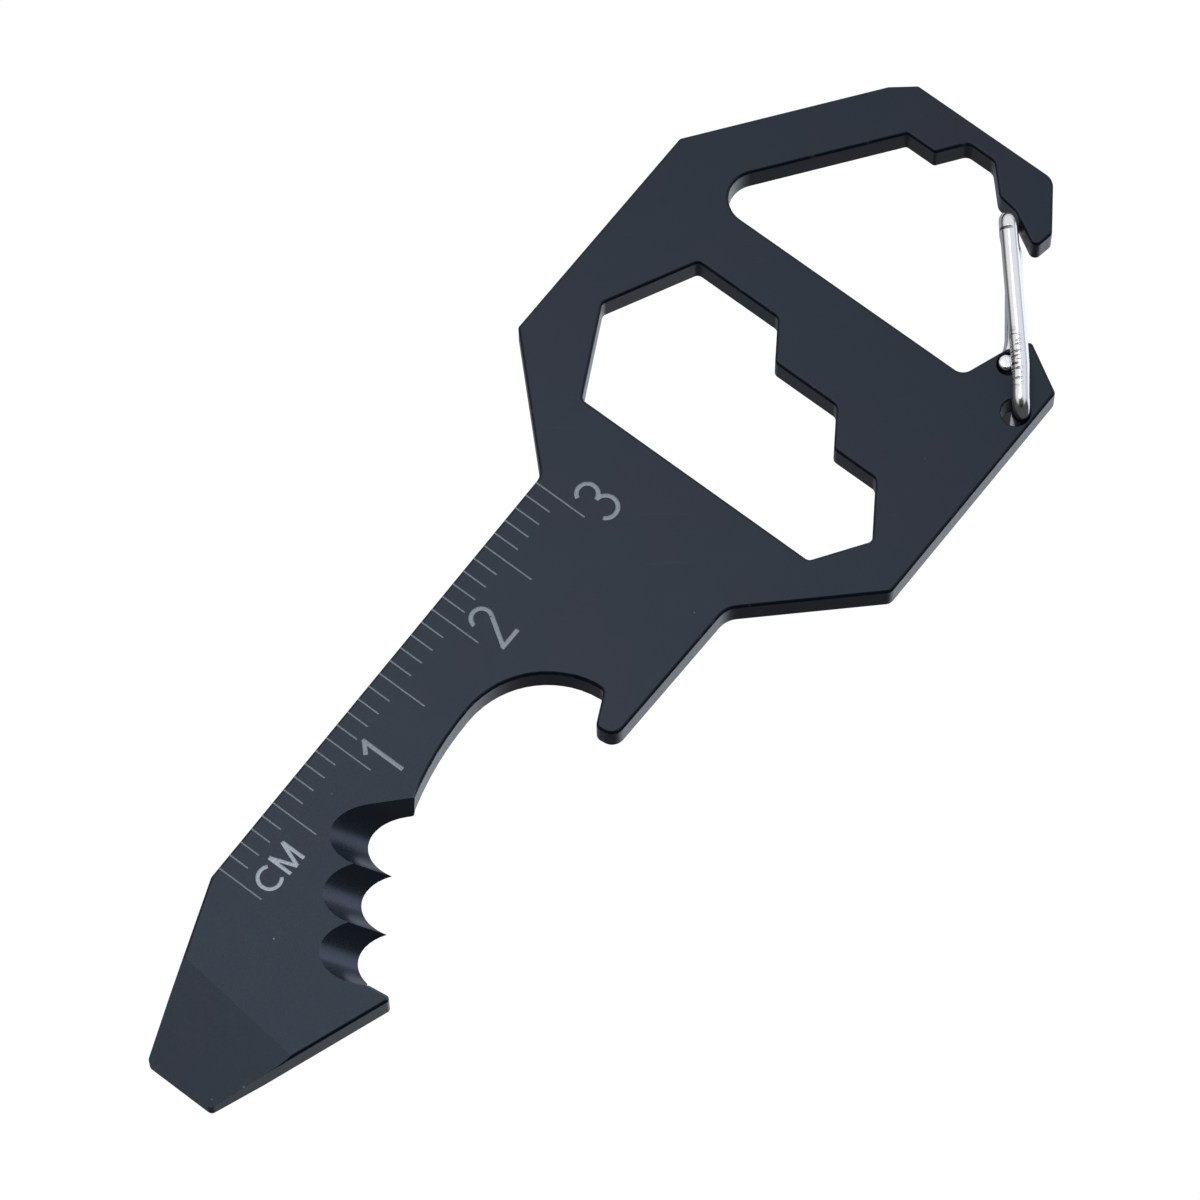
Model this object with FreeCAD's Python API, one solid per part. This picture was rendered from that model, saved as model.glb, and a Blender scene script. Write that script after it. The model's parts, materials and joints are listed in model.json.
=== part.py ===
import FreeCAD, Part
import math
import os

# Keychain bottle opener: a flat key-shaped steel plate whose head is a carabiner,
# closed by a gate bent from one piece of spring wire.
#
# Frame, in millimetres. The origin is the middle of the screwdriver tip's end edge,
# half-way through the plate. +X runs along the key to its head, +Y is the ruler's
# side, and +Z comes out of the printed face.

# ---- driving dimensions -------------------------------------------------------

LENGTH = 75.75
THICKNESS = 2.0
EDGE_ROUND = 0.18            # rounding of the stamped outline on both faces

HEAD_START_X = 48.65
HEAD_HALF_WIDTH = 13.8
HEAD_SLOPE = 0.75            # sloped top sides of the head: 3 across for 4 along
HEAD_TOP_Y = 5.18            # where the +Y slope would meet the head's top

NECK_X = 41.95
NECK_HALF_WIDTH = 6.85
SHAFT_START_X = 10.75
SHAFT_HALF_WIDTH = 6.36      # at SHAFT_START_X; the shaft widens towards the neck

TIP_HALF_WIDTH = 2.3
TIP_BEVEL_LENGTH = 5.55      # on the key's axis
TIP_BEVEL_SKEW = 6.0         # degrees; both bevels run a little longer on the +Y side
TIP_END_THICKNESS = 1.0

# Bottle opener in the shaft's -Y side
MOUTH_TOP = (27.83, 1.09)
MOUTH_RADIUS = 5.75
MOUTH_END_ANGLE = 3.0        # where the mouth's arc meets the hook, from its centre
HOOK_NOSE_X = (31.5, 31.65)  # the nose's corners: mouth side, outer side
HOOK_NOSE_ROUND = (0.45, 0.85)
HOOK_RISE = 1.0              # from the nose up to the root, along Y
HOOK_ROOT_ROUND = 0.35

# Serrated edge between the opener and the tip: three round flutes ground at a slant
SERRATION_START = (11.4, -6.45)
SERRATION_HEEL = (11.12, -4.4)
SERRATION_KNEES = ((14.3, -4.1), (17.95, -1.75))
SERRATION_END = (21.65, 0.14)
FLUTE_RADIUS = 2.0
FLUTE_TILT = 47.0            # from the plate's normal
FLUTE_HEADING = -53.7        # where the flutes run in plan, from +X
FLUTE_PITCH = 3.54
FLUTE_PITCH_ANGLE = 33.9
MIDDLE_FLUTE = (15.7, -1.74)  # its axis where it crosses the printed face
FLUTE_SHIFTS = (0.0, -0.09, 0.0)  # of each flute along the heading, from the tip to the mouth
RUN_OUT_ANGLE = 15.0         # the flute next to the mouth runs out straight on that side
RUN_OUT_LENGTH = 5.0

# Stepped wrench opening: three hexagon sizes that share one long flat
WRENCH_FLAT_X = 47.3
WRENCH_SIZES = (11.2, 8.8, 6.5)
WRENCH_LEFT_Y = 10.8
WRENCH_RIGHT_Y = -10.97
WRENCH_LEFT_SLOPE = 0.51
WRENCH_RIGHT_SLOPE = 0.68
WRENCH_STEP_Y = (2.05, -4.12)   # where the first and second flats end
WRENCH_ROUND = 0.4

# Carabiner opening, and the nose on the far side of its gap
EYE_X = 62.25                # the long straight edge of the opening
EYE_FOOT_Y = -8.75
EYE_TOP_X = 72.8
EYE_RIM_DROP = 4.15          # from the head's sloped top side to the opening's, along Y
NOTCH_START_Y = 1.2
NOTCH_BOTTOM_X = 74.5
NOTCH_BOTTOM_Y = (-0.05, -1.95)
NOSE_POCKET = ((72.85, -3.55), (72.65, -4.9))   # the nose's inner side, where the crown rests
NOSE_TIP = (71.35, -7.25)
NOSE_SHOULDER = (72.8, -7.5)
NOSE_SIDE_Y = -5.4
GAP_SIDE_X = 64.65           # the gap's other side, on the head's -Y edge
GAP_CORNER = (66.45, -10.7)
GAP_BEND = (65.15, -9.82)
HEAD_CUT_Y = 4.65            # a small flat cuts the head's top +Y corner
HEAD_CUT_X = 74.6

# Corner rounding in the outline
SMALL_ROUND = 0.25
MEDIUM_ROUND = 0.6
NECK_ROUND = (1.0, 1.5)      # +Y side, -Y side
TIP_ROUND = 0.35
EYE_ROUND = (0.8, 1.7)       # the opening's foot and its far corner
NOSE_ROUND = 1.0
NOSE_TIP_ROUND = 0.4

# Gate wire, one length bent into a narrow loop over both faces
WIRE_RADIUS = 0.55
WIRE_FACE_GAP = 0.05         # between a leg and the face that it lies over
PIVOT_PIN = (62.36, -12.94)  # front leg's end, the gate's hinge axis
FRONT_KNEE = (64.58, -11.24)
CROWN_FRONT = (71.86, -4.87)
CROWN_BACK = (71.93, -5.07)
BACK_KNEES = ((71.16, -6.06), (66.6, -9.42))   # from the crown to the end
ANCHOR_PIN = (64.46, -10.37)  # back leg's end
PIN_BEND = 0.7               # bend radii, at the wire's centre line
KNEE_BEND = 3.0
CROWN_BEND = 0.8
PIN_OUT = 0.1                # the wire's ends stand this far out of the far face
PIN_ROUND = 0.25

# Holes for the wire's ends. The sprung ends press against one side of their holes.
PIVOT_HOLE = (62.2, -12.68)
PIVOT_HOLE_RADIUS = 0.88
ANCHOR_HOLE = (64.42, -10.49)
ANCHOR_HOLE_RADIUS = 0.7
HOLE_CHAMFER = 0.05

# Ruler, engraved in the printed face
MARK_DEPTH = 0.05
RULER_ZERO_X = 11.45
RULER_LENGTH = 30
TICK_WIDTH = 0.11
LONG_TICK_Y = 3.2
SHORT_TICK_Y = 5.0
DIGIT_HEIGHT = 3.0
DIGIT_STROKE = 0.28
DIGIT_BASE_Y = 1.77
DIGIT_GAP = 0.55             # from a centimetre tick to its digit
UNIT_HEIGHT = 1.63
UNIT_STROKE = 0.24
UNIT_BASE_Y = 2.85
UNIT_X = 11.95
UNIT_LETTER_STEP = 1.62

HALF = THICKNESS / 2
UP = FreeCAD.Vector(0, 0, 1)
TOUCH = 0.001                # two places nearer than this are the same


# ---- small helpers --------------------------------------------------------------

def vec(x, y, z=0.0):
    return FreeCAD.Vector(x, y, z)


def shaft_half_width(x):
    """Half the shaft's width at x; its two sides taper evenly."""
    along = (x - SHAFT_START_X) / (NECK_X - SHAFT_START_X)
    return SHAFT_HALF_WIDTH + along * (NECK_HALF_WIDTH - SHAFT_HALF_WIDTH)


def head_slope_y(x):
    """The head's sloped top side at x."""
    return HEAD_TOP_Y + (LENGTH - x) * HEAD_SLOPE


def lies_at(edge, z):
    """Whether the whole edge is at height z."""
    ends = (edge.BoundBox.ZMin, edge.BoundBox.ZMax)
    return all(abs(end - z) < TOUCH for end in ends)


def on_circle(centre, radius, degrees):
    angle = math.radians(degrees)
    return (centre[0] + radius * math.cos(angle), centre[1] + radius * math.sin(angle))


def bent_path(points, radii):
    """Edges through points, with a tangent arc of the given radius at each inner point."""
    edges = []
    start = points[0]
    for here, radius in enumerate(radii, start=1):
        corner = points[here]
        before = (points[here - 1] - corner).normalize()
        after = (points[here + 1] - corner).normalize()
        half_angle = before.getAngle(after) / 2
        reach = radius / math.tan(half_angle)
        middle = (before + after).normalize() * (radius / math.sin(half_angle) - radius)
        edges.append(Part.makeLine(start, corner + before * reach))
        bend = Part.Arc(corner + before * reach, corner + middle, corner + after * reach)
        edges.append(bend.toShape())
        start = corner + after * reach
    if (points[-1] - start).Length > TOUCH:
        edges.append(Part.makeLine(start, points[-1]))
    return edges


def rounded_run(corners):
    """Outline edges through corners (x, y, radius); the two ends stay sharp."""
    points = [vec(x, y) for x, y, _ in corners]
    return bent_path(points, [radius for _, _, radius in corners[1:-1]])


def closed_rounded_run(corners):
    """As rounded_run, but closed. It starts half-way along the last side."""
    last, first = corners[-1], corners[0]
    middle = ((last[0] + first[0]) / 2, (last[1] + first[1]) / 2, 0.0)
    return rounded_run([middle] + list(corners) + [middle])


def prism(edges, low, high):
    face = Part.Face(Part.Wire(edges)).translated(vec(0, 0, low))
    return face.extrude(UP * (high - low))


# ---- the plate's outline --------------------------------------------------------

def wrench_corners():
    """The stepped hexagon opening, anticlockwise from the tip side's left corner."""
    big, middle, small = WRENCH_SIZES
    centre_big = WRENCH_FLAT_X + big / 2
    centre_small = WRENCH_FLAT_X + small / 2
    left_corner_y = WRENCH_LEFT_Y - WRENCH_LEFT_SLOPE * big / 2
    right_corner_y = WRENCH_RIGHT_Y + WRENCH_RIGHT_SLOPE * small / 2
    points = [(WRENCH_FLAT_X, left_corner_y), (WRENCH_FLAT_X, right_corner_y),
              (centre_small, WRENCH_RIGHT_Y), (WRENCH_FLAT_X + small, right_corner_y)]
    for size, next_size, flat_end in ((small, middle, WRENCH_STEP_Y[1]),
                                      (middle, big, WRENCH_STEP_Y[0])):
        step = next_size - size
        points.append((WRENCH_FLAT_X + size, flat_end - step * WRENCH_RIGHT_SLOPE))
        points.append((WRENCH_FLAT_X + next_size, flat_end))
    points.append((WRENCH_FLAT_X + big, left_corner_y))
    points.append((centre_big, WRENCH_LEFT_Y))
    return [(x, y, WRENCH_ROUND) for x, y in points]


def hook_run():
    """The opener's hook, from the root of its mouth round the nose to the shaft's side."""
    root = on_circle((MOUTH_TOP[0], MOUTH_TOP[1] - MOUTH_RADIUS), MOUTH_RADIUS, MOUTH_END_ANGLE)
    nose_top = root[1] - HOOK_RISE
    return [(root[0], root[1], 0.0),
            (HOOK_NOSE_X[0], nose_top, HOOK_NOSE_ROUND[0]),
            (HOOK_NOSE_X[1], -shaft_half_width(HOOK_NOSE_X[1]), HOOK_NOSE_ROUND[1])]


def head_run():
    """The head, from the neck's -Y side round the gate's gap and the nose to the +Y side."""
    eye_top_y = head_slope_y(EYE_TOP_X) - EYE_RIM_DROP
    eye_corner_y = eye_top_y + (EYE_TOP_X - EYE_X) * HEAD_SLOPE
    slope_start_x = LENGTH - (HEAD_HALF_WIDTH - HEAD_TOP_Y) / HEAD_SLOPE
    gap_side = [(NECK_X, -NECK_HALF_WIDTH, NECK_ROUND[1]),
                (HEAD_START_X, -HEAD_HALF_WIDTH, MEDIUM_ROUND),
                (GAP_SIDE_X, -HEAD_HALF_WIDTH, SMALL_ROUND),
                GAP_CORNER + (SMALL_ROUND,),
                GAP_BEND + (MEDIUM_ROUND,)]
    eye = [(EYE_X, EYE_FOOT_Y, EYE_ROUND[0]),
           (EYE_X, eye_corner_y, EYE_ROUND[1]),
           (EYE_TOP_X, eye_top_y, SMALL_ROUND),
           (EYE_TOP_X, NOTCH_START_Y, SMALL_ROUND)]
    eye += [(NOTCH_BOTTOM_X, y, MEDIUM_ROUND) for y in NOTCH_BOTTOM_Y]
    nose = [NOSE_POCKET[0] + (MEDIUM_ROUND,),
            NOSE_POCKET[1] + (NOSE_ROUND,),
            NOSE_TIP + (NOSE_TIP_ROUND,),
            NOSE_SHOULDER + (NOSE_TIP_ROUND,),
            (LENGTH, NOSE_SIDE_Y, NOSE_ROUND)]
    top_side = [(LENGTH, HEAD_CUT_Y, SMALL_ROUND),
                (HEAD_CUT_X, head_slope_y(HEAD_CUT_X), SMALL_ROUND),
                (slope_start_x, HEAD_HALF_WIDTH, SMALL_ROUND),
                (HEAD_START_X, HEAD_HALF_WIDTH, SMALL_ROUND),
                (NECK_X, NECK_HALF_WIDTH, NECK_ROUND[0])]
    return gap_side + eye + nose + top_side


def tip_run():
    """The shaft's ruler side, the screwdriver tip and its other side up to the serrations."""
    return [(SHAFT_START_X, SHAFT_HALF_WIDTH, SMALL_ROUND),
            (0.0, TIP_HALF_WIDTH, TIP_ROUND),
            (0.0, -TIP_HALF_WIDTH, TIP_ROUND),
            SERRATION_START + (SMALL_ROUND,),
            SERRATION_HEEL + (SMALL_ROUND,),
            SERRATION_KNEES[0] + (MEDIUM_ROUND,),
            SERRATION_KNEES[1] + (MEDIUM_ROUND,),
            SERRATION_END + (0.0,)]


def outline_edges():
    """The whole outline: one run of straight sides, closed by the mouth's two arcs."""
    run = hook_run() + head_run() + tip_run()
    root = vec(*run[0][:2])
    lead_start = vec(*SERRATION_END)
    top = vec(*MOUTH_TOP)
    # The lead-in arc starts at the serrations and is level where it meets the mouth's arc.
    back = MOUTH_TOP[0] - SERRATION_END[0]
    drop = MOUTH_TOP[1] - SERRATION_END[1]
    lead_radius = (back ** 2 + drop ** 2) / (2 * drop)
    lead_centre = (MOUTH_TOP[0], MOUTH_TOP[1] - lead_radius)
    half_lead = math.degrees(math.asin(back / lead_radius)) / 2
    lead_middle = vec(*on_circle(lead_centre, lead_radius, 90 + half_lead))
    mouth_centre = (MOUTH_TOP[0], MOUTH_TOP[1] - MOUTH_RADIUS)
    mouth_middle = vec(*on_circle(mouth_centre, MOUTH_RADIUS, (90 + MOUTH_END_ANGLE) / 2))
    lead = Part.Arc(lead_start, lead_middle, top).toShape()
    mouth = Part.Arc(top, mouth_middle, root).toShape()
    return rounded_run(run) + [lead, mouth]


# ---- cuts in the plate ------------------------------------------------------------

def round_hook_root(plate):
    """Round the sharp inside corner where the mouth's arc meets the hook."""
    root = hook_run()[0]
    at_root = [edge for edge in plate.Edges
               if all(math.hypot(v.X - root[0], v.Y - root[1]) < TOUCH for v in edge.Vertexes)]
    return plate.makeFillet(HOOK_ROOT_ROUND, at_root)


def round_face_edges(plate):
    """Take the sharp edge off the outline and the openings on both faces."""
    rims = [edge for edge in plate.Edges if lies_at(edge, HALF) or lies_at(edge, -HALF)]
    return plate.makeFillet(EDGE_ROUND, rims)


def tip_bevels():
    """Two wedges that thin the screwdriver tip evenly from both faces."""
    overrun = 1.0
    drop = (THICKNESS - TIP_END_THICKNESS) / 2
    extra = drop * overrun / TIP_BEVEL_LENGTH
    profile = [vec(TIP_BEVEL_LENGTH, 0, HALF), vec(-overrun, 0, HALF + overrun),
               vec(-overrun, 0, HALF - drop - extra)]
    side = 2 * TIP_HALF_WIDTH + 2 * TIP_BEVEL_LENGTH
    face = Part.Face(Part.makePolygon(profile + profile[:1])).translated(vec(0, -side / 2))
    upper = face.extrude(vec(0, side, 0))
    upper.rotate(vec(0, 0), UP, -TIP_BEVEL_SKEW)
    return [upper, upper.mirror(vec(0, 0), UP)]


def flutes():
    """Slanted round cutters for the serrated edge."""
    tilt = math.radians(FLUTE_TILT)
    heading = math.radians(FLUTE_HEADING)
    pitch_angle = math.radians(FLUTE_PITCH_ANGLE)
    axis = vec(math.sin(tilt) * math.cos(heading), math.sin(tilt) * math.sin(heading),
               -math.cos(tilt))
    reach = 3 * THICKNESS / math.cos(tilt)
    cutters = []
    for place, shift in enumerate(FLUTE_SHIFTS):
        along = (place - (len(FLUTE_SHIFTS) - 1) / 2) * FLUTE_PITCH
        middle = vec(MIDDLE_FLUTE[0] + along * math.cos(pitch_angle) + shift * math.cos(heading),
                     MIDDLE_FLUTE[1] + along * math.sin(pitch_angle) + shift * math.sin(heading),
                     HALF)
        if place < len(FLUTE_SHIFTS) - 1:
            cutters.append(Part.makeCylinder(FLUTE_RADIUS, 2 * reach, middle - axis * reach, axis))
        else:
            cutters.append(run_out_flute(middle - axis * reach, axis, 2 * reach))
    return cutters


def run_out_flute(centre, axis, length):
    """A round cutter whose mouth side goes on as a flat wall, tangent to the round."""
    mouth_side = UP.cross(axis).normalize()
    outward = axis.cross(mouth_side)
    angle = math.radians(RUN_OUT_ANGLE)
    run = mouth_side * math.sin(angle) + outward * math.cos(angle)
    inner = outward * math.sin(angle) - mouth_side * math.cos(angle)
    tangent = centre - inner * FLUTE_RADIUS
    round_end = centre + run * FLUTE_RADIUS
    round_middle = centre + (inner - run).normalize() * FLUTE_RADIUS
    corners = [tangent, tangent + run * RUN_OUT_LENGTH, centre + run * RUN_OUT_LENGTH, round_end]
    edges = [Part.LineSegment(a, b).toShape() for a, b in zip(corners, corners[1:])]
    edges.append(Part.Arc(round_end, round_middle, tangent).toShape())
    return Part.Face(Part.Wire(edges)).extrude(axis * length)


def wire_holes():
    """Two through holes for the wire's ends, with a small chamfer on both faces."""
    cutters = []
    for (x, y), radius in ((PIVOT_HOLE, PIVOT_HOLE_RADIUS), (ANCHOR_HOLE, ANCHOR_HOLE_RADIUS)):
        cutters.append(Part.makeCylinder(radius, 2 * THICKNESS, vec(x, y, -THICKNESS)))
        for side in (1, -1):
            cutters.append(Part.makeCone(radius + HOLE_CHAMFER, radius, HOLE_CHAMFER,
                                         vec(x, y, side * HALF), UP * -side))
    return cutters


# ---- ruler markings ---------------------------------------------------------------

def mark_line(start, end, width):
    """A straight groove with square ends."""
    run = vec(end[0] - start[0], end[1] - start[1])
    block = Part.makeBox(run.Length, width, 2 * MARK_DEPTH, vec(0, -width / 2, HALF - MARK_DEPTH))
    block.rotate(vec(0, 0), UP, math.degrees(math.atan2(run.y, run.x)))
    return block.translated(vec(*start))


def mark_arc(centre, radius, start, sweep, width):
    """A groove along an arc, anticlockwise from start, in degrees."""
    base = vec(centre[0], centre[1], HALF - MARK_DEPTH)
    outer = Part.makeCylinder(radius + width / 2, 2 * MARK_DEPTH, base, UP, sweep)
    inner = Part.makeCylinder(radius - width / 2, 2 * MARK_DEPTH, base)
    ring = outer.cut(inner)
    ring.rotate(base, UP, start)
    return ring


def ticks():
    cutters = []
    for millimetre in range(RULER_LENGTH + 1):
        x = RULER_ZERO_X + millimetre
        end_y = LONG_TICK_Y if millimetre % 5 == 0 else SHORT_TICK_Y
        cutters.append(mark_line((x, shaft_half_width(x) + 1.0), (x, end_y), TICK_WIDTH))
    return cutters


def digit_one(x, y):
    w = DIGIT_STROKE
    stem_x = x + 0.62
    top = y + DIGIT_HEIGHT
    return [mark_line((stem_x, y), (stem_x, top), w),
            mark_line((stem_x + w / 4, top - w / 3), (x, top - 0.75), w)]


def digit_two(x, y):
    w = DIGIT_STROKE
    radius = 0.62
    centre = (x + radius + w / 2, y + DIGIT_HEIGHT - radius - w / 2)
    bowl_end = on_circle(centre, radius, -38)
    foot = (x + w / 2, y + w / 2)
    return [mark_arc(centre, radius, -38, 213, w),
            mark_line(bowl_end, foot, w),
            mark_line((x, y + w / 2), (x + 2 * radius + w, y + w / 2), w)]


def digit_three(x, y):
    w = DIGIT_STROKE
    low = 0.72
    high = (DIGIT_HEIGHT - w) / 2 - low
    x_centre = x + low
    return [mark_arc((x_centre, y + w / 2 + low), low, -155, 245, w),
            mark_arc((x_centre, y + w / 2 + 2 * low + high), high, -90, 245, w)]


def letter_c(x, y):
    w = UNIT_STROKE
    radius = (UNIT_HEIGHT - w) / 2
    return [mark_arc((x + radius + w / 2, y + UNIT_HEIGHT / 2), radius, 48, 264, w)]


def letter_m(x, y):
    w = UNIT_STROKE
    width = 1.45
    left = x + w / 2
    right = x + width - w / 2
    top = y + UNIT_HEIGHT
    middle = ((left + right) / 2, y)
    return [mark_line((left, y), (left, top), w),
            mark_line((right, y), (right, top), w),
            mark_line((left, top), middle, w),
            mark_line((right, top), middle, w)]


def ruler_marks():
    cutters = ticks()
    for centimetre, digit in enumerate((digit_one, digit_two, digit_three), start=1):
        x = RULER_ZERO_X + 10 * centimetre + DIGIT_GAP
        cutters += digit(x, DIGIT_BASE_Y)
    cutters += letter_c(UNIT_X, UNIT_BASE_Y)
    cutters += letter_m(UNIT_X + UNIT_LETTER_STEP, UNIT_BASE_Y)
    return cutters


# ---- the pieces ---------------------------------------------------------------------

def tool_plate():
    plate = prism(outline_edges(), -HALF, HALF)
    plate = plate.cut(prism(closed_rounded_run(wrench_corners()), -THICKNESS, THICKNESS))
    plate = round_hook_root(plate)
    plate = round_face_edges(plate)
    plate = plate.cut(tip_bevels() + flutes() + wire_holes())
    return plate.cut(ruler_marks())


def leg_height():
    """Height of a leg's centre line over the plate's middle."""
    return HALF + WIRE_FACE_GAP + WIRE_RADIUS


def bent_wire(points, radii):
    """A round wire along a path of points, bent to the given centre-line radii."""
    section = Part.Wire(Part.makeCircle(WIRE_RADIUS, points[0], points[1] - points[0]))
    return Part.Wire(bent_path(points, radii)).makePipeShell([section], True, True)


def round_pin_end(wire, z):
    """Round off the wire's cut end at height z."""
    rim = [edge for edge in wire.Edges if lies_at(edge, z)]
    return wire.makeFillet(PIN_ROUND, rim)


def crown_split():
    """Where the wire is divided: the end of the crown's bend behind the plate."""
    crown = vec(*CROWN_BACK, -leg_height())
    rise = vec(*CROWN_FRONT, leg_height()) - crown
    leg = vec(*BACK_KNEES[0], -leg_height()) - crown
    half_angle = rise.getAngle(leg) / 2
    return crown + leg.normalize() * (CROWN_BEND / math.tan(half_angle))


def wire_gate():
    """The turning end in its hole, the front leg and the crown inside the nose."""
    pin_end = -HALF - PIN_OUT
    over = leg_height()
    path = [vec(*PIVOT_PIN, pin_end), vec(*PIVOT_PIN, over), vec(*FRONT_KNEE, over),
            vec(*CROWN_FRONT, over), vec(*CROWN_BACK, -over), crown_split()]
    wire = bent_wire(path, (PIN_BEND, KNEE_BEND, CROWN_BEND, CROWN_BEND))
    return round_pin_end(wire, pin_end)


def gate_spring_leg():
    """The rest of the same wire: the back leg and its end in the second hole."""
    pin_end = HALF + PIN_OUT
    under = -leg_height()
    upper, lower = BACK_KNEES
    path = [vec(*ANCHOR_PIN, pin_end), vec(*ANCHOR_PIN, under), vec(*lower, under),
            vec(*upper, under), crown_split()]
    return round_pin_end(bent_wire(path, (PIN_BEND, KNEE_BEND, KNEE_BEND)), pin_end)


PIECES = {"tool_plate": tool_plate, "wire_gate": wire_gate, "gate_spring_leg": gate_spring_leg}

os.makedirs("parts", exist_ok=True)
for name, build in PIECES.items():
    build().exportStep(f"parts/{name}.step")
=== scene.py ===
import json
import math

import bmesh
import bpy
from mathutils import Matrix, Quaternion, Vector


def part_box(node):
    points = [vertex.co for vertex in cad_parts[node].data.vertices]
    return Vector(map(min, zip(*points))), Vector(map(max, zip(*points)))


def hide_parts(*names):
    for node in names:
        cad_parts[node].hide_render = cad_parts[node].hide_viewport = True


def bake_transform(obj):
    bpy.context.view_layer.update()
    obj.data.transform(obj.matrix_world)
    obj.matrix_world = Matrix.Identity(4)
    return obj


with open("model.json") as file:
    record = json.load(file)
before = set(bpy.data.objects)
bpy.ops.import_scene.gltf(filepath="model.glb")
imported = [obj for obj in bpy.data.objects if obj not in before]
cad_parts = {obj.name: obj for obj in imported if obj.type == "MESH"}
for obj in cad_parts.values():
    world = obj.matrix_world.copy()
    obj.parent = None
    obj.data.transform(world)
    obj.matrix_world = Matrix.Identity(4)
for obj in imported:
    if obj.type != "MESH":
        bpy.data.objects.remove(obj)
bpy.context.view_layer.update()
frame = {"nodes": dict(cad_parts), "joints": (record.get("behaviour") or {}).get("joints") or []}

# Looks of the keychain bottle opener. Lengths are in metres, in the CAD frame: +X runs
# along the key to its head, +Z comes out of the printed face.

MM = 0.001

PLATE = frame["nodes"]["tool_plate"]
GATE = frame["nodes"]["wire_gate"]
FACE_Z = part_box("tool_plate")[1].z
GATE_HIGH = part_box("wire_gate")[1]
LEG_LOW, LEG_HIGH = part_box("gate_spring_leg")

# The gate's wire: the hole that it turns in, the hole that holds its back leg, its far end
# and the direction of its front leg.
WIRE_RADIUS = 0.55 * MM
PIVOT = Vector(frame["joints"][0]["pos_m"])
ANCHOR = Vector((LEG_LOW.x + WIRE_RADIUS, LEG_LOW.y + WIRE_RADIUS, 0))
CROWN = Vector((GATE_HIGH.x - WIRE_RADIUS, GATE_HIGH.y - WIRE_RADIUS, 0))
FRONT_LEG = (CROWN - Vector((PIVOT.x, PIVOT.y, 0))).normalized()
ACROSS_LEG = FRONT_LEG.cross(Vector((0, 0, 1)))

# The camera looks down at the printed face, a little from the tip's side.
CAMERA_TARGET = Vector((37.87, -0.73, 1.0)) * MM
CAMERA_OFFSET = Vector((-124.67, -100.27, 392.5)) * MM
CAMERA_ROLL = -0.9457        # degrees
CAMERA_LENS = 218.9          # mm
CAMERA_SENSOR = 36.0         # mm

# The room is bright low down on one side and on the side away from the camera, and dark
# on the camera's side. ACROSS is level and square to the bright side.
BRIGHT_SIDE = Vector((0.79, -0.61, 0.0))
ACROSS = Vector((0, 0, 1)).cross(BRIGHT_SIDE)
FAR_SIDE = Vector((-CAMERA_OFFSET.x, -CAMERA_OFFSET.y, 0.0)).normalized()
WHITE = (1.0, 1.0, 1.0, 1.0)
BLACK = (0.0, 0.0, 0.0, 1.0)
COOL_LIGHT = (0.91, 0.97, 1.08)


# ---- node helpers ----------------------------------------------------------------

class Nodes:
    """A node tree being built, with short calls for its nodes."""

    def __init__(self, tree):
        self.nodes = tree.nodes
        self.links = tree.links

    def link(self, value, socket):
        """Sets a socket to a number or a colour, or links it to another socket."""
        if isinstance(value, bpy.types.NodeSocket):
            self.links.new(value, socket)
        else:
            socket.default_value = value

    def output(self, kind, name):
        """An output of a new input node, such as a texture coordinate."""
        return self.nodes.new(kind).outputs[name]

    def math(self, operation, a, b=0.0):
        """The result of an operation on one or two numbers."""
        node = self.nodes.new("ShaderNodeMath")
        node.operation = operation
        self.link(a, node.inputs[0])
        self.link(b, node.inputs[1])
        return node.outputs["Value"]

    def along(self, place, direction):
        """How far a place or a direction goes along another direction."""
        node = self.nodes.new("ShaderNodeVectorMath")
        node.operation = "DOT_PRODUCT"
        self.link(place, node.inputs[0])
        node.inputs[1].default_value = direction
        return node.outputs["Value"]

    def distance(self, place, point):
        """How far a place is from a point."""
        node = self.nodes.new("ShaderNodeVectorMath")
        node.operation = "DISTANCE"
        self.link(place, node.inputs[0])
        node.inputs[1].default_value = point
        return node.outputs["Value"]

    def ramp(self, value, low, high, at_low=0.0, at_high=1.0):
        """Maps low..high smoothly to at_low..at_high."""
        node = self.nodes.new("ShaderNodeMapRange")
        node.interpolation_type = "SMOOTHSTEP"
        self.link(value, node.inputs["Value"])
        for name, number in (("From Min", low), ("From Max", high),
                             ("To Min", at_low), ("To Max", at_high)):
            node.inputs[name].default_value = number
        return node.outputs["Result"]

    def band(self, value, centre, half_width):
        """1 where a value is near centre, falling smoothly to 0 at half_width from it."""
        away = self.math("ABSOLUTE", self.math("SUBTRACT", value, centre))
        return self.ramp(away, half_width * 0.4, half_width, 1.0, 0.0)

    def mix(self, share, a, b):
        """Colour a at share 0 and colour b at share 1."""
        node = self.nodes.new("ShaderNodeMix")
        node.data_type = "RGBA"
        self.link(share, node.inputs["Factor"])
        self.link(a, node.inputs["A"])
        self.link(b, node.inputs["B"])
        return node.outputs["Result"]

    def both(self, a, b):
        """Two shares of 0..1 together, or a value scaled by a share: their product."""
        return self.math("MULTIPLY", a, b)

    def glow(self, direction):
        """0..1: how far a direction points at the bright side of the room."""
        towards = self.ramp(self.along(direction, BRIGHT_SIDE), 0.05, 0.32)
        across = self.band(self.along(direction, ACROSS), 0.05, 0.45)
        return self.both(towards, across)


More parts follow.
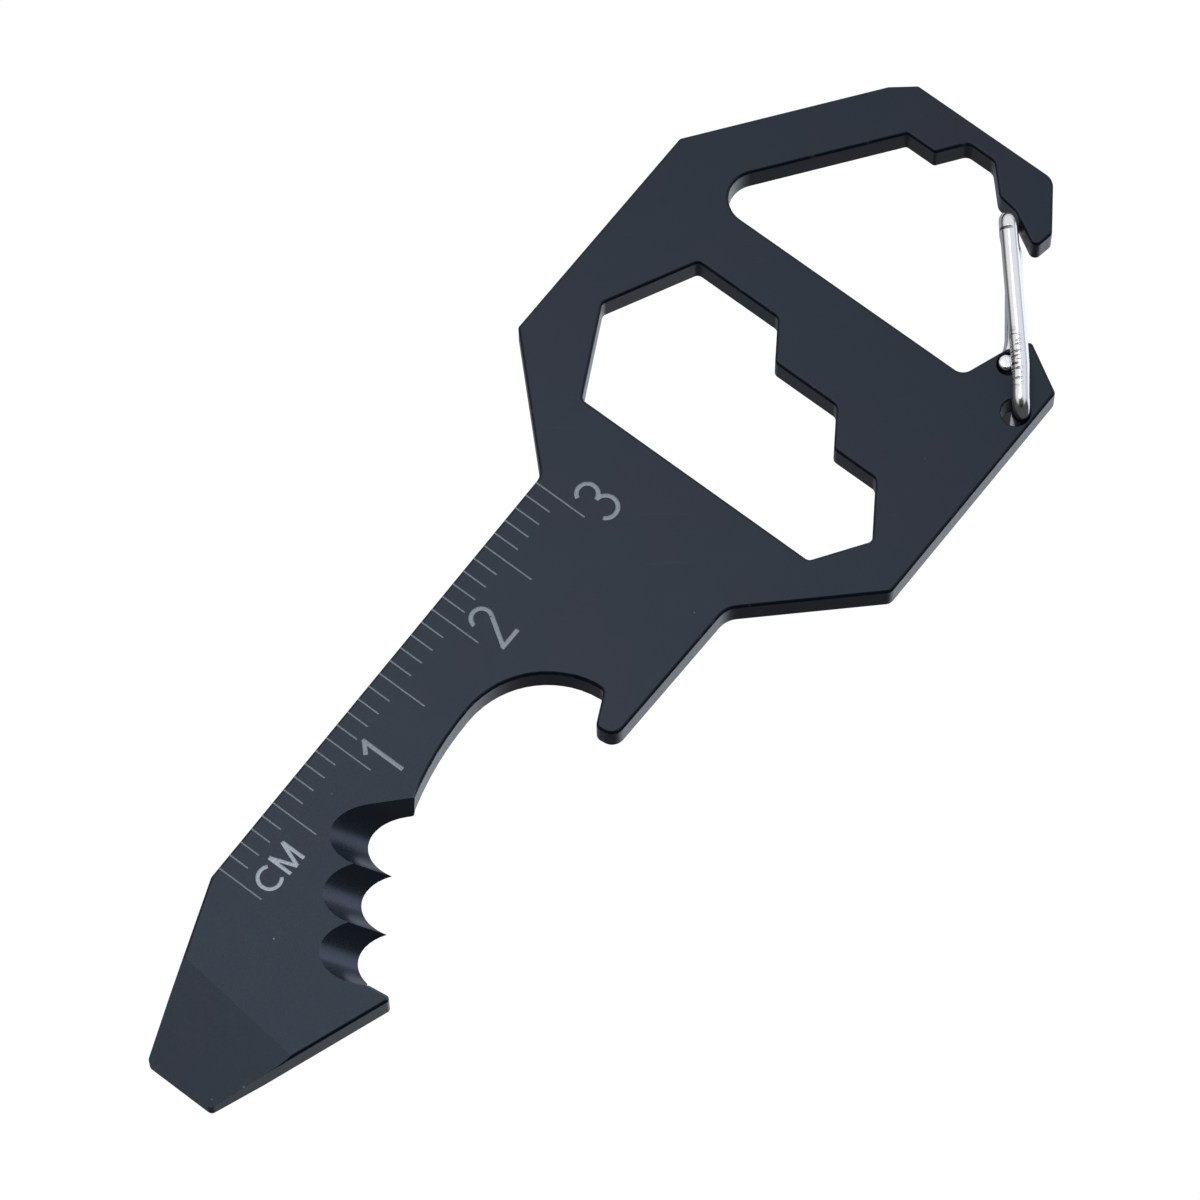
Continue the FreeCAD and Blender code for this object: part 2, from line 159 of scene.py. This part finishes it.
class Shader(Nodes):
    """A material's nodes."""

    def __init__(self, name):
        self.material = bpy.data.materials.new(name)
        self.material.use_nodes = True
        super().__init__(self.material.node_tree)
        self.surface = self.nodes["Principled BSDF"]
        self.place = self.output("ShaderNodeTexCoord", "Object")

    def set(self, **values):
        """Sets the principled surface's inputs, given with _ for each space."""
        for name, value in values.items():
            self.link(value, self.surface.inputs[name.replace("_", " ")])

    def stretched(self, x, y, z, turn=0.0):
        """Object coordinates, turned about Z by so many degrees, then scaled per axis."""
        turned = self.nodes.new("ShaderNodeMapping")
        self.link(self.place, turned.inputs["Vector"])
        turned.inputs["Rotation"].default_value = (0, 0, math.radians(turn))
        scaled = self.nodes.new("ShaderNodeMapping")
        self.link(turned.outputs["Vector"], scaled.inputs["Vector"])
        scaled.inputs["Scale"].default_value = (x, y, z)
        return scaled.outputs["Vector"]

    def noise(self, size, detail=2.0, vector=None):
        """Noise of about 0..1, whose blobs are about size metres across."""
        node = self.nodes.new("ShaderNodeTexNoise")
        self.link(vector or self.place, node.inputs["Vector"])
        node.inputs["Scale"].default_value = 1.0 / size
        node.inputs["Detail"].default_value = detail
        return node.outputs["Fac"]

    def specks(self, size, apart, patch):
        """1 in small round specks that lie in patches."""
        cells = self.nodes.new("ShaderNodeTexVoronoi")
        self.link(self.place, cells.inputs["Vector"])
        cells.inputs["Scale"].default_value = 1.0 / apart
        near = self.ramp(cells.outputs["Distance"], 0.6 * size / apart, size / apart, 1.0, 0.0)
        return self.both(near, self.ramp(self.noise(patch), 0.56, 0.66))

    def bump(self, height, depth):
        """Bumps the surface by a height of 0..1 that stands for depth metres."""
        node = self.nodes.new("ShaderNodeBump")
        node.inputs["Distance"].default_value = depth
        self.link(height, node.inputs["Height"])
        if self.surface.inputs["Normal"].is_linked:
            self.link(self.surface.inputs["Normal"].links[0].from_socket, node.inputs["Normal"])
        self.link(node.outputs["Normal"], self.surface.inputs["Normal"])


# ---- the plate ---------------------------------------------------------------------------

def tinted(value, tint=(1.0, 1.0, 1.0), shift=(1.0, 1.0, 1.0)):
    """A linear colour of that brightness, tinted and shifted."""
    return tuple(value * a * b for a, b in zip(tint, shift)) + (1.0,)


def coating(name, level, tint, roughness, gloss, wear=0.0, sheen=(1.0, 1.0, 1.0)):
    """Blue-black coating: fine grain, faint clouds, hairlines, a few pale specks, and wear."""
    shader = Shader(name)
    grain = shader.noise(0.09 * MM)
    streaks = shader.noise(1.0, vector=shader.stretched(160, 5200, 160, turn=52))
    hairline = shader.both(shader.ramp(streaks, 0.66, 0.72),
                           shader.ramp(shader.noise(5 * MM), 0.52, 0.62))
    specks = shader.specks(size=0.08 * MM, apart=1.3 * MM, patch=6 * MM)
    warm = (1.04, 0.96, 1.0)
    cool = (0.97, 1.01, 1.01)
    cloud = shader.ramp(shader.noise(7 * MM), 0.38, 0.62)
    colour = shader.mix(cloud, tinted(level, tint, warm), tinted(level, tint, cool))
    reflection = shader.mix(cloud, tinted(1.0, sheen, warm), tinted(1.0, sheen, cool))
    colour = shader.mix(shader.ramp(grain, 0.3, 0.7, 0.0, 0.2), colour, tinted(level * 2.0, tint))
    colour = shader.mix(shader.both(hairline, 0.012), colour, tinted(0.5))
    colour = shader.mix(shader.both(specks, 0.30), colour, tinted(0.6))
    if wear:
        rubbed = shader.ramp(shader.noise(0.5 * MM, detail=4.0), 0.60, 0.70)
        colour = shader.mix(shader.both(rubbed, wear), colour, tinted(0.5))
    shader.set(Base_Color=colour, Specular_IOR_Level=gloss, Specular_Tint=reflection,
               Roughness=shader.ramp(grain, 0.25, 0.75, roughness - 0.04, roughness + 0.04))
    shader.bump(grain, 0.0015 * MM)
    shader.bump(hairline, 0.001 * MM)
    return shader.material


def laser_mark(name, level):
    """Pale bluish marks burnt through the coating, slightly mottled."""
    shader = Shader(name)
    mottle = shader.noise(0.12 * MM, detail=3.0)
    tint = (0.95, 1.0, 1.08)
    shader.set(Base_Color=shader.mix(shader.ramp(mottle, 0.3, 0.7),
                                     tinted(level * 0.85, tint), tinted(level * 1.15, tint)),
               Roughness=0.62, Specular_IOR_Level=0.2)
    shader.bump(mottle, 0.004 * MM)
    return shader.material


def paint_plate():
    """Gives each polygon of the plate the material of its face, wall, edge, flute or mark."""
    blue = (0.40, 0.78, 1.75)
    slots = {"face": coating("coating_face", level=0.011, tint=blue, roughness=0.36, gloss=0.29,
                             sheen=(0.97, 0.97, 1.03)),
             "edge": coating("coating_edge", level=0.008, tint=blue, roughness=0.34, gloss=0.25,
                             wear=0.05),
             # Painted light: the walls get the same coating made several times lighter than the
             # face's, for the light that falls on them.
             "wall": coating("coating_wall_painted_light", level=0.038, tint=(0.80, 1.0, 1.30),
                             roughness=0.40, gloss=0.50),
             # Painted shade: the bores of the two holes get a near-black copy of the coating, for
             # the shade inside the holes.
             "bore": coating("coating_bore_painted_shade", level=0.003, tint=blue, roughness=0.50, gloss=0.05),
             "flute": coating("coating_flute", level=0.008, tint=(0.75, 1.0, 1.5),
                              roughness=0.30, gloss=0.85, sheen=(0.88, 1.06, 1.38)),
             "digit": laser_mark("laser_digit", level=0.38),
             "unit": laser_mark("laser_unit", level=0.55),
             "tick": laser_mark("laser_tick", level=0.33)}
    names = list(slots)
    PLATE.data.materials.clear()
    for material in slots.values():
        PLATE.data.materials.append(material)
    for polygon in PLATE.data.polygons:
        polygon.material_index = names.index(kind_of(polygon))
    for island in mark_islands(names.index("digit")):
        kind = mark_kind(island)
        for polygon in island:
            polygon.material_index = names.index(kind)


def kind_of(polygon):
    """Which surface of the plate a polygon belongs to. Every mark is a digit at first."""
    mark_depth = 0.05 * MM
    margin = 0.004 * MM
    serrations_x = (10.5 * MM, 22.0 * MM)
    serrations_y = 3.2 * MM
    bore_reach = 1.3 * MM
    nearly_flat = 0.98
    nearly_upright = 0.2
    exactly = 0.001
    up = polygon.normal.z
    at = polygon.center
    in_marks = FACE_Z - mark_depth - margin < at.z < FACE_Z - margin
    if in_marks and (up > 1 - exactly or abs(up) < exactly):
        return "digit"
    serrated = serrations_x[0] < at.x < serrations_x[1] and at.y < serrations_y
    if serrated and 0.02 < up < nearly_flat:
        return "flute"
    if abs(up) > nearly_flat:
        return "face"
    if abs(up) >= nearly_upright:
        return "edge"
    from_hole = min((Vector((at.x, at.y, 0)) - hole).length for hole in (PIVOT, ANCHOR))
    return "bore" if from_hole < bore_reach else "wall"


def mark_kind(island):
    """Whether a mark is a tick that reaches the plate's edge, the unit or a digit."""
    ruler_edge = 6.0 * MM
    unit_end = 16.0 * MM
    if max(polygon.center.y for polygon in island) > ruler_edge:
        return "tick"
    return "unit" if max(polygon.center.x for polygon in island) < unit_end else "digit"


def mark_islands(index):
    """The polygons with that material, in lists that hang together."""
    data = PLATE.data
    left = {polygon.index for polygon in data.polygons if polygon.material_index == index}
    sharing = {}
    for here in left:
        for corner in data.polygons[here].vertices:
            sharing.setdefault(place_key(data.vertices[corner].co), []).append(here)
    islands = []
    while left:
        waiting = [left.pop()]
        island = []
        while waiting:
            polygon = data.polygons[waiting.pop()]
            island.append(polygon)
            for corner in polygon.vertices:
                for other in sharing[place_key(data.vertices[corner].co)]:
                    if other in left:
                        left.remove(other)
                        waiting.append(other)
        islands.append(island)
    return islands


def place_key(point):
    """The same key for vertices at the same place."""
    return tuple(round(value / MM, 3) for value in point)


# ---- the wire ---------------------------------------------------------------------------

def polished_wire():
    """Bright drawn wire: fine lengthwise lines, a crease by the crown with painted shade, and ribs
    by the pivot.
    """
    crease_from_crown = 0.96 * MM
    crease_half_width = 0.11 * MM
    ribs_from_pivot = 3.1 * MM
    ribs_half_length = 2.3 * MM
    shader = Shader("polished_wire")
    turn = -math.degrees(math.atan2(FRONT_LEG.y, FRONT_LEG.x))
    along = shader.along(shader.place, FRONT_LEG)
    above = shader.ramp(shader.along(shader.place, (0, 0, 1)), FACE_Z + 0.3 * MM, FACE_Z + 0.5 * MM)
    lines = shader.noise(1.0, vector=shader.stretched(250, 9000, 9000, turn=turn))

    # Painted shade: a dark band across the wire by the crown, over the shallow dent that the bump
    # below presses in.
    crease_shade = shader.band(along, CROWN.dot(FRONT_LEG) - crease_from_crown, crease_half_width)
    nicks = shader.noise(1.0, vector=shader.stretched(4600, 900, 900, turn=turn))
    ribbed = shader.band(along, PIVOT.dot(FRONT_LEG) + ribs_from_pivot, ribs_half_length)
    ribs = shader.both(shader.ramp(nicks, 0.50, 0.60), ribbed)
    aside = shader.math("SUBTRACT", shader.along(shader.place, ACROSS_LEG), PIVOT.dot(ACROSS_LEG))
    inner_side = shader.ramp(aside, -0.15 * MM, 0.35 * MM, 1.0, 0.0)
    # Dark tool-mark ribs, and the crease's painted shade, on the inner side of the upper wire.
    wear_and_crease_shade = shader.both(shader.both(shader.math("MAXIMUM", crease_shade, ribs), inner_side), above)

    shader.set(Base_Color=shader.mix(wear_and_crease_shade, tinted(0.76, (1.0, 0.978, 0.968)), tinted(0.13)),
               Metallic=1.0, Roughness=shader.ramp(lines, 0.3, 0.7, 0.13, 0.22))
    shader.bump(lines, 0.001 * MM)
    shader.bump(shader.math("SUBTRACT", 1.0, wear_and_crease_shade), 0.03 * MM)
    return shader.material


def spring_leg(wire):
    """The gate's back leg, cut into fine rings so that it can flex between plate and gate."""
    rings = 90
    foot = LEG_LOW + Vector((1, 1, 1)) * WIRE_RADIUS
    crown = Vector((LEG_HIGH.x - WIRE_RADIUS, LEG_HIGH.y - WIRE_RADIUS, foot.z))
    mesh = bmesh.new()
    mesh.from_mesh(frame["nodes"]["gate_spring_leg"].data)
    bmesh.ops.remove_doubles(mesh, verts=mesh.verts, dist=0.0005 * MM)
    for step in range(1, rings):
        everything = mesh.verts[:] + mesh.edges[:] + mesh.faces[:]
        bmesh.ops.bisect_plane(mesh, geom=everything, plane_co=foot.lerp(crown, step / rings),
                               plane_no=(crown - foot).normalized())
    data = bpy.data.meshes.new("spring_leg")
    mesh.to_mesh(data)
    mesh.free()
    data.shade_smooth()
    data.materials.append(wire)
    leg = bpy.data.objects.new("spring_leg", data)
    bpy.context.scene.collection.objects.link(leg)
    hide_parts("gate_spring_leg")
    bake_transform(leg)


# ---- floor, light and camera -------------------------------------------------------------

def floor():
    """A plain floor just under the object."""
    half_size = 3.0
    z = LEG_LOW.z - 0.02 * MM
    corners = [(-half_size, -half_size, z), (half_size, -half_size, z),
               (half_size, half_size, z), (-half_size, half_size, z)]
    data = bpy.data.meshes.new("floor")
    data.from_pydata(corners, [], [(0, 1, 2, 3)])
    data.materials.append(floor_paint(z))
    obj = bpy.data.objects.new("floor", data)
    bpy.context.scene.collection.objects.link(obj)


def floor_paint(z):
    """Glows white to the camera. To the object it is dark but for two sides of the room.

    A glowing floor holds no shadows, so one is painted: the patch that the camera sees
    through the pivot hole. Rays that come in low can't pass the hole, and see it white.
    """
    hole_patch_shift = Vector((0.53, 0.82, 0)) * MM
    white = 1.02                 # a little over 1, so that it comes out pure white
    shader = Shader("floor_paint")
    seen = shader.output("ShaderNodeLightPath", "Is Camera Ray")
    back = shader.nodes.new("ShaderNodeVectorMath")
    back.operation = "SCALE"
    back.inputs["Scale"].default_value = -1.0
    shader.link(shader.output("ShaderNodeNewGeometry", "Incoming"), back.inputs[0])
    ray = back.outputs["Vector"]

    patch = Vector((PIVOT.x, PIVOT.y, z)) + hole_patch_shift
    patch_shade = shader.ramp(shader.distance(shader.place, patch), 1.0 * MM, 1.2 * MM, 0.03, white)
    low_rays = shader.ramp(shader.along(ray, (0, 0, -1)), 0.78, 0.90, white, 0.0)
    to_camera = shader.math("MAXIMUM", patch_shade, low_rays)

    away = shader.along(ray, FAR_SIDE)
    other_side = shader.ramp(shader.along(ray, BRIGHT_SIDE), -0.15, 0.15, 0.30, 0.0)
    dim_light = shader.both(other_side, shader.ramp(away, -0.20, 0.10))
    far_light = shader.math("MAXIMUM", dim_light, shader.ramp(away, 0.60, 0.85, 0.0, 0.75))
    near_light = shader.ramp(shader.glow(ray), 0.0, 1.0, 0.08, 1.3)
    to_object = shader.math("ADD", near_light, far_light)

    unseen = shader.math("SUBTRACT", 1.0, seen)
    strength = shader.math("ADD", shader.both(seen, to_camera), shader.both(unseen, to_object))
    tone = shader.ramp(shader.noise(30 * MM), 0.3, 0.7, 0.0, 0.02)
    shader.set(Base_Color=shader.mix(tone, BLACK, WHITE), Roughness=0.9, Specular_IOR_Level=0.0,
               Emission_Color=shader.mix(seen, tinted(1.0, COOL_LIGHT), WHITE),
               Emission_Strength=strength)
    return shader.material


def sky():
    """A soft dome: bright overhead and low down on one side, dark around the camera."""
    world = bpy.data.worlds.new("studio")
    bpy.context.scene.world = world
    world.use_nodes = True
    tree = Nodes(world.node_tree)
    direction = tree.output("ShaderNodeTexCoord", "Generated")
    camera_side = tree.along(direction, CAMERA_OFFSET.normalized())
    height = tree.math("ADD", tree.along(direction, (0, 0, 1)),
                       tree.both(tree.along(direction, FAR_SIDE), 0.55))
    dome = tree.both(tree.ramp(height, 0.28, 0.70, 0.08, 1.0),
                     tree.ramp(camera_side, 0.80, 0.92, 1.0, 0.08))
    glow = tree.glow(direction)
    background = tree.nodes["Background"]
    tree.link(tree.mix(glow, (0.98, 0.99, 1.0, 1.0), tinted(1.0, COOL_LIGHT)),
              background.inputs["Color"])
    tree.link(tree.math("MAXIMUM", dome, tree.both(glow, 0.68)), background.inputs["Strength"])


def tip_light():
    """A square cool light high over the key's tip."""
    away = Vector((0.209, 0.243, 0.947)).normalized()
    distance = 0.35
    data = bpy.data.lights.new("tip_light", "AREA")
    data.size = 0.14
    data.energy = 0.21
    data.color = (0.62, 0.88, 1.0)
    obj = bpy.data.objects.new("tip_light", data)
    obj.location = Vector((0, 0, FACE_Z)) + away * distance
    obj.rotation_euler = away.to_track_quat("Z", "Y").to_euler()
    bpy.context.scene.collection.objects.link(obj)


def camera():
    """The camera, aimed at its target and then rolled about its own axis."""
    data = bpy.data.cameras.new("camera")
    data.sensor_width = CAMERA_SENSOR
    data.lens = CAMERA_LENS
    data.clip_start = 0.01
    data.clip_end = 20.0
    obj = bpy.data.objects.new("camera", data)
    obj.location = CAMERA_TARGET + CAMERA_OFFSET
    roll = Quaternion((0, 0, 1), math.radians(CAMERA_ROLL))
    obj.rotation_euler = (CAMERA_OFFSET.to_track_quat("Z", "Y") @ roll).to_euler()
    bpy.context.scene.collection.objects.link(obj)
    bpy.context.scene.camera = obj


paint_plate()
wire = polished_wire()
GATE.data.materials.clear()
GATE.data.materials.append(wire)
spring_leg(wire)
floor()
sky()
tip_light()
camera()
bpy.context.scene.view_settings.view_transform = "Standard"
